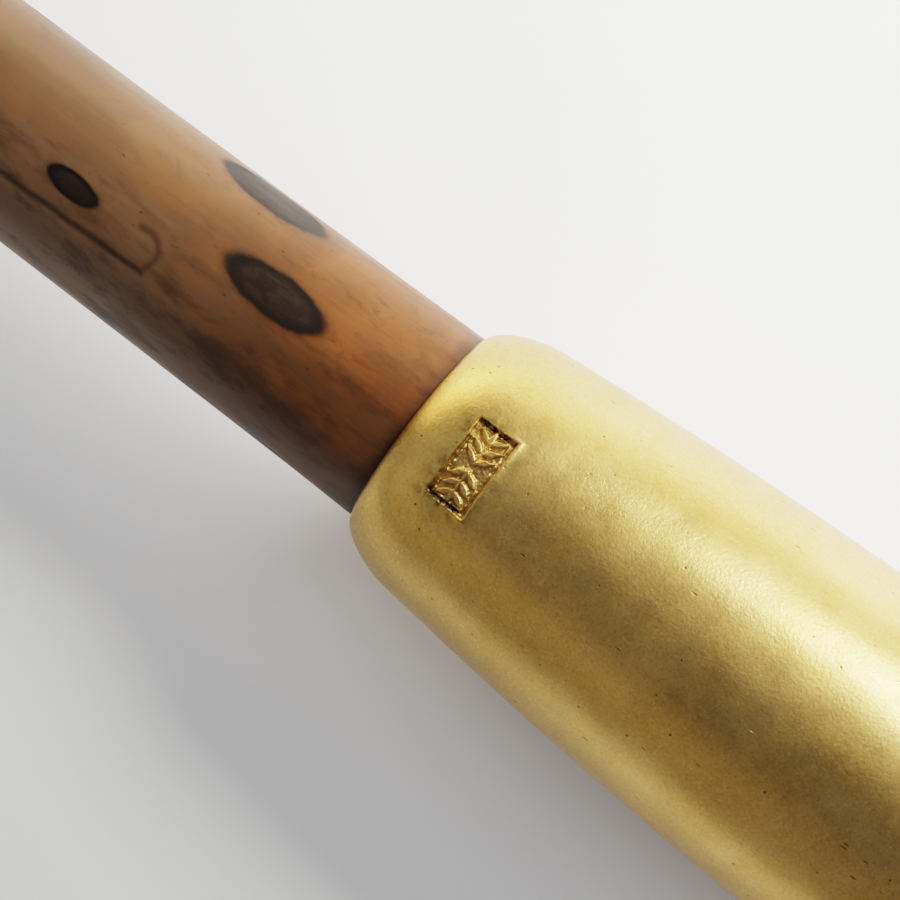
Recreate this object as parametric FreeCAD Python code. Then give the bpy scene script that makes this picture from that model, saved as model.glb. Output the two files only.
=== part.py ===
"""Dip pen holder: a speckled bamboo culm pushed into a turned brass grip that carries a steel nib.

Frame, in millimetres: +X runs along the pen towards the nib's tip, +Z is up through the top of the
nib, and the origin is the centre of the nib sleeve's mouth, on the pen's axis.
"""

import FreeCAD
import Part

import math
import os

V = FreeCAD.Vector
ORIGIN = V(0, 0, 0)
ALONG = V(1, 0, 0)
ACROSS = V(0, 1, 0)
UP = V(0, 0, 1)
FULL_TURN = 360

# --- Driving dimensions -------------------------------------------------------------------------

# Brass grip: a barrel whose outline is one long arc, with a soft rim where the bamboo goes in.
GRIP_FRONT = -3.0            # front face; the steel sleeve stands out of it up to x = 0
GRIP_LENGTH = 54.0
GRIP_RADIUS = 6.5            # at the widest
GRIP_WIDEST_FROM_REAR = 25.0
BARREL_ARC = 220.0           # radius of the barrel's long arc
REAR_RIM_LENGTH = 2.6        # how far the soft rear rim reaches along the pen
REAR_RIM_RISE = 0.27         # first part of the rim that rises straight out, as a share of it
REAR_RIM_PULL = 1.6          # how long the rim keeps the barrel's direction before it turns in
FRONT_EDGE = 0.7             # rounding of the front edge

# Bores inside the grip.
CULM_SOCKET_RADIUS = 4.08
CULM_SOCKET_DEPTH = 14.0
SLEEVE_BORE_RADIUS = 3.80
SLEEVE_BORE_DEPTH = 22.0
LIGHTENING_RADIUS = 2.5      # drilled through between the two sockets
MOUTH_CHAMFER = 0.12

# Seal: a sunken panel struck into the top of the grip, with two leaf sprigs left standing in it.
SEAL_FROM_REAR = 2.8         # centre of the panel, from the rear rim
SEAL_LENGTH = 1.65           # along the pen
SEAL_WIDTH = 3.3             # round the pen
SEAL_DEPTH = 0.22
SPRIG_HEIGHT = 0.15          # of the relief above the panel's floor
STEM_WIDTH = 0.13
STEM_START = 0.12            # from the middle of the panel
STEM_END = 1.12
LEAF_LENGTH = 0.72
LEAF_WIDTH = 0.25
LEAF_BELLY = 0.42            # where the leaf is widest, as a share of its length
LEAF_SLANT = 35              # degrees from square to the stem
LEAF_PAIRS = 3               # on each sprig
LEAF_PITCH = 0.42

# Bamboo culm.
CULM_MOUTH_RADIUS = 4.0      # where it enters the brass
CULM_WAIST_RADIUS = 3.80     # thinnest place in front of the node
CULM_TAIL_RADIUS = 3.70      # behind the node, a true cylinder
CULM_TAPER = 20.0            # the first stretch behind the brass, where most of the taper is
CULM_VISIBLE = 105.0         # from the grip to the tail cap
TENON_RADIUS = 3.92          # scraped down inside the brass
TENON_STEP = 0.8             # how deep inside the mouth the tenon starts
CULM_BORE_RADIUS = 2.4
NODE_FROM_GRIP = 52.0        # centre of the natural ring
NODE_RISE = 0.34             # of the ring above the culm
NODE_HALF = 3.4              # reach of the swelling each side of the ring
NODE_CREST = 0.7             # half width of the ring's crest
NODE_CREST_DROP = 0.12       # how far the crest falls over that
DIAPHRAGM = 1.4              # the culm's own wall across the node
SOCKET_GAP = 0.2             # between the culm's end and the socket's floor
GLUE_GAP = 0.02              # radial room between pieces that are glued or pressed together

# Hardwood cores.
CORE_LENGTH = 26.0
CORE_BEVEL = 0.5
TAIL_DOWEL_LENGTH = 12.0

# Brass tail cap.
CAP_LENGTH = 6.0
CAP_BAND = 1.6               # straight part in front of the dome
CAP_STUD_RADIUS = 1.3
CAP_STUD_LENGTH = 7.0
CAP_STUD_BEVEL = 0.3

# Steel nib sleeve, with a bead rolled round its mouth.
SLEEVE_RADIUS = SLEEVE_BORE_RADIUS - GLUE_GAP
SLEEVE_BORE = 3.45
SLEEVE_REAR = -19.0
BEAD_RADIUS = 0.34

# Four-leaf claw spring inside the sleeve.
CLAW_THICKNESS = 0.28
CLAW_BASE = 0.4              # thickness of its base disc
CLAW_WAIST_RADIUS = 2.75     # round the base
CLAW_RADIUS = 3.13           # where the leaves press on the nib
CLAW_PRESS = -8.0            # and where along the pen that is
CLAW_TIP = -2.2
CLAW_TIP_RADIUS = 2.72
CLAW_TIP_SLOPE = -0.15
CLAW_SLOT = 0.9
CLAW_SLOT_STOP = 0.6         # uncut ring in front of the base disc
CLAW_SLOT_PAIRS = 2
CLAW_FIRST_SLOT = 45         # degrees round the pen
SCREW_HOLE = 0.78

# Claw screw: slotted round head.
SCREW_HEAD_RADIUS = 1.35
SCREW_HEAD_HEIGHT = 0.75
SCREW_SHANK_RADIUS = 0.7
SCREW_LENGTH = 4.6
SCREW_POINT = 1.2
SCREW_SLOT = 0.3
SCREW_SLOT_DEPTH = 0.4

# Nib: curved steel, its front bent gently down.
NIB_RADIUS = 3.42
NIB_THICKNESS = 0.25
NIB_REAR = -13.0
NIB_TIP = 25.0
NIB_HALF_WIDTH = 3.34
NIB_CORNER = 0.5
NIB_SHOULDER = 8.6           # where the sides start to run in
NIB_SIDE = [(12.2, 2.75), (17.0, 1.3), (21.0, 0.6)]   # x and half width from there to the point
NIB_POINT_LENGTH = 0.3
NIB_POINT_HALF_WIDTH = 0.24
NIB_POINT_END = 0.1
NIB_BEND_START = 4.0
NIB_BEND_RADIUS = 95.0
NIB_EDGE_ABOVE_AXIS = 0.45   # lower edges of the shank
VENT_RADIUS = 0.62
VENT_X = 10.4
SLIT_WIDTH = 0.07
NOTCH_RADIUS = 0.55
NOTCH_X = 5.6

# --- Places that follow ---------------------------------------------------------------------------

GRIP_REAR = GRIP_FRONT - GRIP_LENGTH
GRIP_WIDEST = GRIP_REAR + GRIP_WIDEST_FROM_REAR
SOCKET_FLOOR = GRIP_REAR + CULM_SOCKET_DEPTH
SLEEVE_BORE_FLOOR = GRIP_FRONT - SLEEVE_BORE_DEPTH
TENON_END = GRIP_REAR + TENON_STEP
CULM_FRONT = SOCKET_FLOOR - SOCKET_GAP
CULM_TAIL = GRIP_REAR - CULM_VISIBLE
NODE_X = GRIP_REAR - NODE_FROM_GRIP
SEAL_X = GRIP_REAR + SEAL_FROM_REAR
SCREW_SEAT = SLEEVE_REAR + CLAW_BASE


def barrel_radius(x):
    """Radius of the grip's long arc at x."""
    return GRIP_RADIUS - BARREL_ARC + math.sqrt(BARREL_ARC ** 2 - (x - GRIP_WIDEST) ** 2)


# --- Helpers --------------------------------------------------------------------------------------


def point(x, radius):
    """A point of an outline: x along the pen and the radius from its axis."""
    return V(x, radius, 0)


def lines(points):
    """Straight edges from each point to the next."""
    return [Part.makeLine(a, b) for a, b in zip(points, points[1:])]


def curve(points, start, end):
    """A smooth edge through the points, with its directions at both ends."""
    spline = Part.BSplineCurve()
    spline.interpolate(Points=points, InitialTangent=start, FinalTangent=end)
    return spline.toShape()


def turned(edges):
    """The solid that a closed outline sweeps round the pen's axis."""
    outline = Part.Wire(Part.__sortEdges__(edges))
    return Part.Face(outline).revolve(ORIGIN, ALONG, FULL_TURN)


def rod(radius, x_start, x_end):
    """A plain cylinder along the pen."""
    return Part.makeCylinder(radius, x_end - x_start, point(x_start, 0), ALONG)


def save(shape, name):
    """Writes one sub-part, and says what it holds."""
    clean = shape.removeSplitter()
    clean.exportStep("parts/" + name + ".step")
    print(name, "valid", clean.isValid(), "solids", len(clean.Solids), "mm3", round(clean.Volume, 2))


# --- Brass grip -----------------------------------------------------------------------------------


def grip_outside():
    """The grip's outline from the rear mouth to the front face."""
    rim_end = GRIP_REAR + REAR_RIM_LENGTH
    rim_radius = barrel_radius(rim_end)
    rim_rise = REAR_RIM_RISE * (rim_radius - CULM_SOCKET_RADIUS)
    slope = (GRIP_WIDEST - rim_end) / BARREL_ARC
    rim = Part.BezierCurve()
    rim.setPoles([
        point(GRIP_REAR, CULM_SOCKET_RADIUS),
        point(GRIP_REAR, CULM_SOCKET_RADIUS + rim_rise),
        point(rim_end - REAR_RIM_PULL, rim_radius - REAR_RIM_PULL * slope),
        point(rim_end, rim_radius),
    ])
    edge_start = GRIP_FRONT - FRONT_EDGE
    edge_radius = barrel_radius(edge_start)
    corner = FRONT_EDGE * (1 - math.sqrt(0.5))
    barrel = Part.Arc(
        point(rim_end, rim_radius), point(GRIP_WIDEST, GRIP_RADIUS), point(edge_start, edge_radius)
    )
    front_edge = Part.Arc(
        point(edge_start, edge_radius),
        point(GRIP_FRONT - corner, edge_radius - corner),
        point(GRIP_FRONT, edge_radius - FRONT_EDGE),
    )
    return [rim.toShape(), barrel.toShape(), front_edge.toShape()]


def grip_body():
    """The turned barrel with its two sockets and the bore between them."""
    inside = lines([
        point(GRIP_FRONT, barrel_radius(GRIP_FRONT - FRONT_EDGE) - FRONT_EDGE),
        point(GRIP_FRONT, SLEEVE_BORE_RADIUS + MOUTH_CHAMFER),
        point(GRIP_FRONT - MOUTH_CHAMFER, SLEEVE_BORE_RADIUS),
        point(SLEEVE_BORE_FLOOR, SLEEVE_BORE_RADIUS),
        point(SLEEVE_BORE_FLOOR, LIGHTENING_RADIUS),
        point(SOCKET_FLOOR, LIGHTENING_RADIUS),
        point(SOCKET_FLOOR, CULM_SOCKET_RADIUS),
        point(GRIP_REAR, CULM_SOCKET_RADIUS),
    ])
    return turned(grip_outside() + inside)


def under_seal(height):
    """A cone that follows the barrel at the seal, at this height above the panel's floor."""
    start = SEAL_X - SEAL_LENGTH
    end = SEAL_X + SEAL_LENGTH
    lift = height - SEAL_DEPTH
    return Part.makeCone(
        barrel_radius(start) + lift, barrel_radius(end) + lift, end - start, point(start, 0), ALONG
    )


def seal_panel():
    """What the punch takes away: a rectangle down to a floor that follows the barrel."""
    corner = V(SEAL_X - SEAL_LENGTH / 2, -SEAL_WIDTH / 2, GRIP_RADIUS / 2)
    return Part.makeBox(SEAL_LENGTH, SEAL_WIDTH, GRIP_RADIUS, corner).cut(under_seal(0))


def leaf(y, turn):
    """One leaf as a tall prism: it grows from the stem at y, in the direction of this turn."""
    belly = LEAF_LENGTH * LEAF_BELLY
    plan = [V(0, 0, 0), V(belly, LEAF_WIDTH / 2, 0), V(LEAF_LENGTH, 0, 0), V(belly, -LEAF_WIDTH / 2, 0)]
    face = Part.Face(Part.Wire(lines(plan + plan[:1])))
    face.rotate(ORIGIN, UP, turn)
    face.translate(V(SEAL_X, y, 0))
    return face.extrude(V(0, 0, GRIP_RADIUS))


def sprig(side):
    """A stem with pairs of leaves and one at its end, growing out to one side of the panel."""
    stem_length = STEM_END - STEM_START
    stem = Part.makeBox(STEM_WIDTH, stem_length, GRIP_RADIUS, V(-STEM_WIDTH / 2, STEM_START, 0))
    if side < 0:
        stem.rotate(ORIGIN, UP, FULL_TURN / 2)
    stem.translate(V(SEAL_X, 0, 0))
    leaves = [leaf(side * (STEM_END - LEAF_WIDTH), side * FULL_TURN / 4)]
    for i in range(LEAF_PAIRS):
        y = side * (STEM_START + STEM_WIDTH / 2 + i * LEAF_PITCH)
        leaves.append(leaf(y, side * LEAF_SLANT))
        leaves.append(leaf(y, FULL_TURN / 2 - side * LEAF_SLANT))
    return stem.fuse(leaves)


def brass_grip():
    """The grip with its struck panel and the sprigs left standing in it."""
    relief = under_seal(SPRIG_HEIGHT).cut(under_seal(-SEAL_DEPTH))
    sprigs = sprig(1).fuse(sprig(-1)).common(relief)
    return grip_body().cut(seal_panel()).fuse(sprigs)


# --- Bamboo handle and what is glued into it ------------------------------------------------------


def bamboo_handle():
    """The culm: tenon, tapering front, natural ring, straight tail, and two blind bores."""
    backwards = V(-1, 0, 0)
    ring = CULM_TAIL_RADIUS + NODE_RISE
    front = curve([
        point(TENON_END, CULM_MOUTH_RADIUS),
        point(GRIP_REAR - CULM_TAPER, CULM_WAIST_RADIUS + 0.02),
        point(NODE_X + NODE_HALF, CULM_WAIST_RADIUS),
        point(NODE_X + NODE_CREST, ring - NODE_CREST_DROP),
        point(NODE_X, ring),
        point(NODE_X - NODE_CREST, ring - NODE_CREST_DROP),
        point(NODE_X - NODE_HALF, CULM_TAIL_RADIUS),
    ], backwards, backwards)
    rest = lines([
        point(NODE_X - NODE_HALF, CULM_TAIL_RADIUS),
        point(CULM_TAIL, CULM_TAIL_RADIUS),
        point(CULM_TAIL, 0),
        point(CULM_FRONT, 0),
        point(CULM_FRONT, TENON_RADIUS),
        point(TENON_END, TENON_RADIUS),
        point(TENON_END, CULM_MOUTH_RADIUS),
    ])
    front_bore = rod(CULM_BORE_RADIUS, NODE_X + DIAPHRAGM / 2, CULM_FRONT)
    rear_bore = rod(CULM_BORE_RADIUS, CULM_TAIL, NODE_X - DIAPHRAGM / 2)
    return turned([front] + rest).cut([front_bore, rear_bore])


def handle_core():
    """Hardwood dowel that backs the thin culm wall inside the brass socket."""
    radius = CULM_BORE_RADIUS - GLUE_GAP
    rear = CULM_FRONT - CORE_LENGTH
    outline = [
        point(rear, 0),
        point(rear, radius - CORE_BEVEL),
        point(rear + CORE_BEVEL, radius),
        point(CULM_FRONT, radius),
        point(CULM_FRONT, 0),
    ]
    return turned(lines(outline + outline[:1]))


def joint_shim():
    """Paper wound round the tenon so that it grips the brass."""
    start = TENON_END + TENON_STEP
    outside = rod(CULM_SOCKET_RADIUS - GLUE_GAP, start, CULM_FRONT)
    return outside.cut(rod(TENON_RADIUS + GLUE_GAP, start, CULM_FRONT))


def tail_dowel():
    """Hardwood dowel in the culm's tail that takes the cap's stud."""
    body = rod(CULM_BORE_RADIUS - GLUE_GAP, CULM_TAIL, CULM_TAIL + TAIL_DOWEL_LENGTH)
    hole_end = CULM_TAIL + CAP_STUD_LENGTH + SOCKET_GAP
    return body.cut(rod(CAP_STUD_RADIUS + GLUE_GAP, CULM_TAIL, hole_end))


def tail_cap():
    """Domed brass cap, turned flush with the culm, with its stud."""
    tail = CULM_TAIL - CAP_LENGTH
    band_end = CULM_TAIL - CAP_BAND
    stud_end = CULM_TAIL + CAP_STUD_LENGTH
    half_turn = math.sqrt(0.5)
    dome_middle = point(band_end - (band_end - tail) * half_turn, CULM_TAIL_RADIUS * half_turn)
    dome = curve(
        [point(band_end, CULM_TAIL_RADIUS), dome_middle, point(tail, 0)], V(-1, 0, 0), V(0, -1, 0)
    )
    rest = lines([
        point(tail, 0),
        point(stud_end, 0),
        point(stud_end, CAP_STUD_RADIUS - CAP_STUD_BEVEL),
        point(stud_end - CAP_STUD_BEVEL, CAP_STUD_RADIUS),
        point(CULM_TAIL, CAP_STUD_RADIUS),
        point(CULM_TAIL, CULM_TAIL_RADIUS),
        point(band_end, CULM_TAIL_RADIUS),
    ])
    return turned([dome] + rest)


# --- Nib socket -----------------------------------------------------------------------------------


def nib_sleeve():
    """Thin steel tube with a bead rolled round its mouth."""
    tube = rod(SLEEVE_RADIUS, SLEEVE_REAR, -BEAD_RADIUS)
    bead = Part.makeTorus(SLEEVE_BORE + BEAD_RADIUS, BEAD_RADIUS, point(-BEAD_RADIUS, 0), ALONG)
    return tube.cut(rod(SLEEVE_BORE, SLEEVE_REAR, -BEAD_RADIUS)).fuse(bead)


def socket_plug():
    """Hardwood plug at the bottom of the sleeve's bore, drilled for the claw screw."""
    body = rod(SLEEVE_BORE_RADIUS - GLUE_GAP, SLEEVE_BORE_FLOOR, SLEEVE_REAR)
    hole_end = SCREW_SEAT - SCREW_LENGTH - SOCKET_GAP
    return body.cut(rod(SCREW_SHANK_RADIUS + GLUE_GAP, hole_end, SLEEVE_REAR))


def claw_side(base, inset):
    """The outer or inner line of the claws: out from the base to the press, and in to the tips."""
    press = point(CLAW_PRESS, CLAW_RADIUS - inset)
    tip = point(CLAW_TIP, CLAW_TIP_RADIUS - inset)
    rise = curve([point(base, CLAW_WAIST_RADIUS - inset), press], ALONG, ALONG)
    fall = curve([press, tip], ALONG, V(1, CLAW_TIP_SLOPE, 0))
    return [rise, fall]


def nib_claws():
    """Spring steel cup, slotted into leaves that swell to press the nib on the sleeve."""
    rest = lines([
        point(CLAW_TIP, CLAW_TIP_RADIUS),
        point(CLAW_TIP, CLAW_TIP_RADIUS - CLAW_THICKNESS),
    ]) + lines([
        point(SCREW_SEAT, CLAW_WAIST_RADIUS - CLAW_THICKNESS),
        point(SCREW_SEAT, SCREW_HOLE),
        point(SLEEVE_REAR, SCREW_HOLE),
        point(SLEEVE_REAR, CLAW_WAIST_RADIUS),
    ])
    cup = turned(claw_side(SLEEVE_REAR, 0) + claw_side(SCREW_SEAT, CLAW_THICKNESS) + rest)
    start = SCREW_SEAT + CLAW_SLOT_STOP
    slots = []
    for i in range(CLAW_SLOT_PAIRS):
        corner = V(start, -SLEEVE_RADIUS, -CLAW_SLOT / 2)
        slot = Part.makeBox(CLAW_TIP - start, 2 * SLEEVE_RADIUS, CLAW_SLOT, corner)
        slot.rotate(ORIGIN, ALONG, CLAW_FIRST_SLOT + i * FULL_TURN / 2 / CLAW_SLOT_PAIRS)
        slots.append(slot)
    return cup.cut(slots)


def claw_screw():
    """Small round-head screw that holds the claw spring to the plug."""
    top = SCREW_SEAT + SCREW_HEAD_HEIGHT
    tip = SCREW_SEAT - SCREW_LENGTH
    dome = curve([point(SCREW_SEAT, SCREW_HEAD_RADIUS), point(top, 0)], ALONG, V(0, -1, 0))
    rest = lines([
        point(top, 0),
        point(tip, 0),
        point(tip + SCREW_POINT, SCREW_SHANK_RADIUS),
        point(SCREW_SEAT, SCREW_SHANK_RADIUS),
        point(SCREW_SEAT, SCREW_HEAD_RADIUS),
    ])
    corner = V(top - SCREW_SLOT_DEPTH, -SCREW_HEAD_RADIUS, -SCREW_SLOT / 2)
    slot = Part.makeBox(SCREW_HEAD_HEIGHT, 2 * SCREW_HEAD_RADIUS, SCREW_SLOT, corner)
    return turned([dome] + rest).cut(slot)


# --- Nib ------------------------------------------------------------------------------------------

BEND_CENTRE = V(NIB_BEND_START, 0, -NIB_BEND_RADIUS)
BEND_TURN = (NIB_TIP - NIB_BEND_START + 1) / NIB_BEND_RADIUS


def bent_bar(radius):
    """A round bar that runs straight to the bend and then curves down past the nib's tip."""
    straight = rod(radius, NIB_REAR, NIB_BEND_START)
    section = Part.Face(Part.Wire(Part.makeCircle(radius, V(NIB_BEND_START, 0, 0), ALONG)))
    return straight.fuse(section.revolve(BEND_CENTRE, ACROSS, math.degrees(BEND_TURN)))


def nib_plan():
    """The nib's outline seen from above, as a tall prism."""
    point_start = V(NIB_TIP - NIB_POINT_LENGTH, NIB_POINT_HALF_WIDTH, 0)
    shank = [
        V(NIB_TIP, 0, 0),
        V(NIB_REAR, 0, 0),
        V(NIB_REAR, NIB_HALF_WIDTH - NIB_CORNER, 0),
        V(NIB_REAR + NIB_CORNER, NIB_HALF_WIDTH, 0),
        V(NIB_SHOULDER, NIB_HALF_WIDTH, 0),
    ]
    side = curve([shank[-1]] + [V(x, width, 0) for x, width in NIB_SIDE] + [point_start], ALONG, ALONG)
    tip = [point_start, V(NIB_TIP, NIB_POINT_END, 0), shank[0]]
    half = Part.Face(Part.Wire(lines(shank) + [side] + lines(tip))).extrude(V(0, 0, 2 * NIB_RADIUS))
    half.translate(V(0, 0, -NIB_RADIUS))
    return half.fuse(half.mirror(ORIGIN, ACROSS))


def above_edges():
    """The space above the nib's lower edges, which follow the bend."""
    reach = NIB_BEND_RADIUS + NIB_EDGE_ABOVE_AXIS
    start = BEND_CENTRE + V(0, 0, reach)
    middle = BEND_CENTRE + V(reach * math.sin(BEND_TURN / 2), 0, reach * math.cos(BEND_TURN / 2))
    end = BEND_CENTRE + V(reach * math.sin(BEND_TURN), 0, reach * math.cos(BEND_TURN))
    top = 2 * NIB_RADIUS
    rear = V(NIB_REAR, 0, NIB_EDGE_ABOVE_AXIS)
    rest = lines([end, V(end.x, 0, top), V(NIB_REAR, 0, top), rear, start])
    face = Part.Face(Part.Wire([Part.Arc(start, middle, end).toShape()] + rest))
    face.translate(V(0, -NIB_RADIUS, 0))
    return face.extrude(V(0, 2 * NIB_RADIUS, 0))


def nib():
    """Pointed nib: curved shank, side notches, vent hole, and a slit from the vent to the tip."""
    sheet = bent_bar(NIB_RADIUS).cut(bent_bar(NIB_RADIUS - NIB_THICKNESS))
    blank = sheet.common(nib_plan()).common(above_edges())
    vent = Part.makeCylinder(VENT_RADIUS, 2 * NIB_RADIUS, V(VENT_X, 0, 0), UP)
    slit_corner = V(VENT_X, -SLIT_WIDTH / 2, -NIB_RADIUS)
    slit = Part.makeBox(NIB_TIP - VENT_X + 1, SLIT_WIDTH, 3 * NIB_RADIUS, slit_corner)
    notches = [
        Part.makeCylinder(NOTCH_RADIUS, NIB_RADIUS, V(NOTCH_X, side * NIB_HALF_WIDTH, 0), UP)
        for side in (1, -1)
    ]
    return blank.cut([vent, slit] + notches)


# --- Build ----------------------------------------------------------------------------------------

SUB_PARTS = {
    "brass_grip": brass_grip,
    "bamboo_handle": bamboo_handle,
    "handle_core": handle_core,
    "joint_shim": joint_shim,
    "tail_dowel": tail_dowel,
    "tail_cap": tail_cap,
    "nib_sleeve": nib_sleeve,
    "socket_plug": socket_plug,
    "nib_claws": nib_claws,
    "claw_screw": claw_screw,
    "nib": nib,
}

os.makedirs("parts", exist_ok=True)
for part_name, make in SUB_PARTS.items():
    save(make(), part_name)
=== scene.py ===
"""Looks of a dip pen holder: a speckled bamboo culm in a satin brass grip that carries a steel nib.

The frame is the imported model's: metres, +X along the pen towards the nib's tip, +Z up. Shapes are
worked out in millimetres from the frame's boxes, and become metres when their meshes are made.
"""

import math
import random

import bpy
import numpy as np
from mathutils import Matrix, Vector, noise


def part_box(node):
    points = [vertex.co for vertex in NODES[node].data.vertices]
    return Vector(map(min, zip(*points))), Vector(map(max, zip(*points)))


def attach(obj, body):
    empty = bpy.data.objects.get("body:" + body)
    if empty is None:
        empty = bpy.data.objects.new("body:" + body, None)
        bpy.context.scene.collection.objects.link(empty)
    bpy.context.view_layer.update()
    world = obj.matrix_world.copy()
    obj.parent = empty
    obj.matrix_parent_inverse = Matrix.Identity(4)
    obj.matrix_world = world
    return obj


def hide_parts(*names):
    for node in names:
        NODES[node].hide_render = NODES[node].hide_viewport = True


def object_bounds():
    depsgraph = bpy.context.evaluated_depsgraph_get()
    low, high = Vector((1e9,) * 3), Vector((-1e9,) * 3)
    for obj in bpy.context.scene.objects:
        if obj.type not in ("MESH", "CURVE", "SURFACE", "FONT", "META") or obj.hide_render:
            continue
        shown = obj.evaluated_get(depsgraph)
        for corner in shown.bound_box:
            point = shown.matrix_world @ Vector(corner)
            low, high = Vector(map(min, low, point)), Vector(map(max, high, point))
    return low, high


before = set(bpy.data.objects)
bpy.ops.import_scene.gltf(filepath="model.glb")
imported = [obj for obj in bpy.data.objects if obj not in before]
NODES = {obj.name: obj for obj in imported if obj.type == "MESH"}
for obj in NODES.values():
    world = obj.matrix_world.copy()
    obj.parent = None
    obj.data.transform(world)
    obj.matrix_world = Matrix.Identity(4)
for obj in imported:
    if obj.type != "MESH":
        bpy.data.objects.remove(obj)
cad_box = [list(corner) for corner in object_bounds()]

MM = 0.001


def box_mm(node):
    """Lowest and highest corner of a CAD node, in millimetres."""
    return [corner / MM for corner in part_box(node)]


GRIP_LOW, GRIP_HIGH = box_mm("brass_grip")
CULM_LOW, CULM_HIGH = box_mm("bamboo_handle")
MOUTH_X = GRIP_LOW.x
FLOOR_Z = cad_box[0][2]      # metres, the pen's lowest point

# --- Sizes, in millimetres -----------------------------------------------------------------------

# Brass grip, as the CAD turns it.
GRIP_RADIUS = GRIP_HIGH.z
GRIP_WIDEST_X = MOUTH_X + 25.0
BARREL_ARC = 220.0           # radius of its long outline
SOCKET_RADIUS = 4.08
SOCKET_DEPTH = 14.0
SLEEVE_BORE = 3.80
SLEEVE_BORE_DEPTH = 22.0
SLEEVE_CHAMFER = 0.06
MIDDLE_BORE = 2.5
RIM_LENGTH = 2.6
RIM_PULL = 1.6               # length of the rim curve's handle along the barrel
RIM_RISE = 0.27              # share of its rise that the curve's first handle takes
FRONT_EDGE = 0.7
GRIP_WAVES = 0.016           # depth of the hand-finished surface's slow waves

# The struck seal on top of the grip.
SEAL_X = MOUTH_X + 2.8
SEAL_LENGTH = 1.65
SEAL_WIDTH = 3.3
SEAL_DEPTH = 0.22
SEAL_WALL = 0.09             # run-out of its walls
SEAL_RAGGED = 0.035          # how far its outline wanders
LIP_HEIGHT = 0.028           # the burr along its front edge
LIP_WIDTH = 0.08
LIP_MIDDLE = 0.05            # from the outline outwards
GRIME_INSET = 0.08           # the black line stands this far inside the outline
GRIME_WIDTH = 0.08
SEAL_SHADE_REACH = 0.45            # how far the painted shade spreads round it
SPRIG_HEIGHT = 0.13
SPRIG_SOFTNESS = 0.06
STEM_WIDTH = 0.13
STEM_START = 0.12
STEM_END = 1.12
LEAF_LENGTH = 0.72
LEAF_WIDTH = 0.25
LEAF_BELLY = 0.42
LEAF_SLANT = math.radians(35)
LEAF_PAIRS = 3
LEAF_PITCH = 0.42
BORDER_INSET = 0.17
BORDER_WIDTH = 0.07
BORDER_SOFTNESS = 0.04

# Spacing of the grip's points: along it, and round it where the seal is.
RIM_FACE = 0.3               # up to here the points are spaced along the rim's curve
RIM_STEP = 0.12
SEAL_STEP = 0.024
SEAL_MARGIN = 0.15
AFTER_SEAL = 3.0
AFTER_SEAL_STEP = 0.15
BARREL_STEP = 0.4
SEAL_TURN = math.radians(20.5)        # the fine points reach this far either side of the top
SEAL_TURN_STEP = math.radians(0.26)
GRIP_SIDES = 111             # points round the rest of it
BORE_RINGS = (6.0, 5.0, 0.5)          # depths of extra rings in the sleeve's bore and the socket

# Bamboo culm.
CULM_MOUTH_RADIUS = 4.0
CULM_WAIST_RADIUS = 3.80
CULM_TAIL_RADIUS = 3.70
CULM_TAPER = 22.0            # the culm narrows from its mouth over this length
TENON_RADIUS = 3.92
TENON_STEP = 0.8
CULM_BORE = 2.4
NODE_X = MOUTH_X - 52.0
NODE_RISE = 0.34
NODE_LENGTH = 1.1            # half of the ring's length
NODE_BLEND = 3.4             # the two radii beside the ring meet over twice this
SCAR_X = NODE_X + 1.9        # the groove that the leaf sheath left beside the ring
SCAR_DEPTH = 0.10
SCAR_WIDTH = 0.35
SHEATH_X = NODE_X + 2.7      # the sheath's thin rise beside the groove
SHEATH_RISE = 0.07
SHEATH_WIDTH = 0.4
DIAPHRAGM = 1.4              # the culm's own wall across the ring
DIAPHRAGM_CENTRE = 0.4       # radius of the innermost ring of points on its solid faces
CULM_BOW = 0.28              # how far the culm bows to -Y between the brass and the cap
FIBRE_DEPTH = 0.022
FLUTE_DEPTH = 0.12           # the shallow flute that runs up to the ring
FLUTE_LENGTH = 24.0
FLUTE_TURN = math.radians(128)
FLUTE_WIDTH = 0.32           # radians
SPOT_DEPTH = 0.02
CRACK_DEPTH = 0.04

# The three marks near the brass: distance behind it, degrees round from the top towards +Y, half
# length and half width.
SPOTS = [
    (6.55, 10.0, 2.3, 0.82),
    (14.75, -8.5, 1.2, 0.47),
    (9.1, 64.0, 2.4, 1.00),
]
SPOT_SLANT = -0.06
SCATTERED_SPOTS = 34
SPOT_SEED = 11
LONGEST_SPOT = 2.6           # half length of the longest scattered spot
CLEAR_OF_SPOTS = 19.0        # no scattered spot on the upper half this near the brass
CLEAR_TURN = 95.0            # degrees either side of the top that this upper half takes
CLEAR_OF_RING = 3.0          # no scattered spot's middle this near the ring's
# A fine crack in the skin and the hook at its end: distance behind the brass, degrees round.
CRACK = [(27.0, -28.0), (16.2, -27.0), (10.95, -24.5)]
HOOK = [
    (10.95, -23.5), (10.75, -14.5), (10.80, -9.5), (11.05, -6.0), (11.45, -4.3), (11.85, -4.6),
]
CRACK_WIDTH = 0.14

FAR_OUTSIDE = 99.0           # a distance that reaches no mark

# --- Mesh helpers --------------------------------------------------------------------------------


def smooth_step(low, high, value):
    """From 0 at low to 1 at high, smoothly, and held beyond them. Low may be above high."""
    share = np.clip((value - low) / (high - low), 0.0, 1.0)
    return share * share * (3 - 2 * share)


def noise_at(points, scale, octaves, seed):
    """Fractal noise at each point, about -1 to 1."""
    shift = Vector((seed, seed * 1.7, -seed))
    return np.array([
        noise.fractal(Vector(p) * scale + shift, 1.0, 2.0, octaves) for p in points.reshape(-1, 3)
    ]).reshape(points.shape[:-1])


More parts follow.
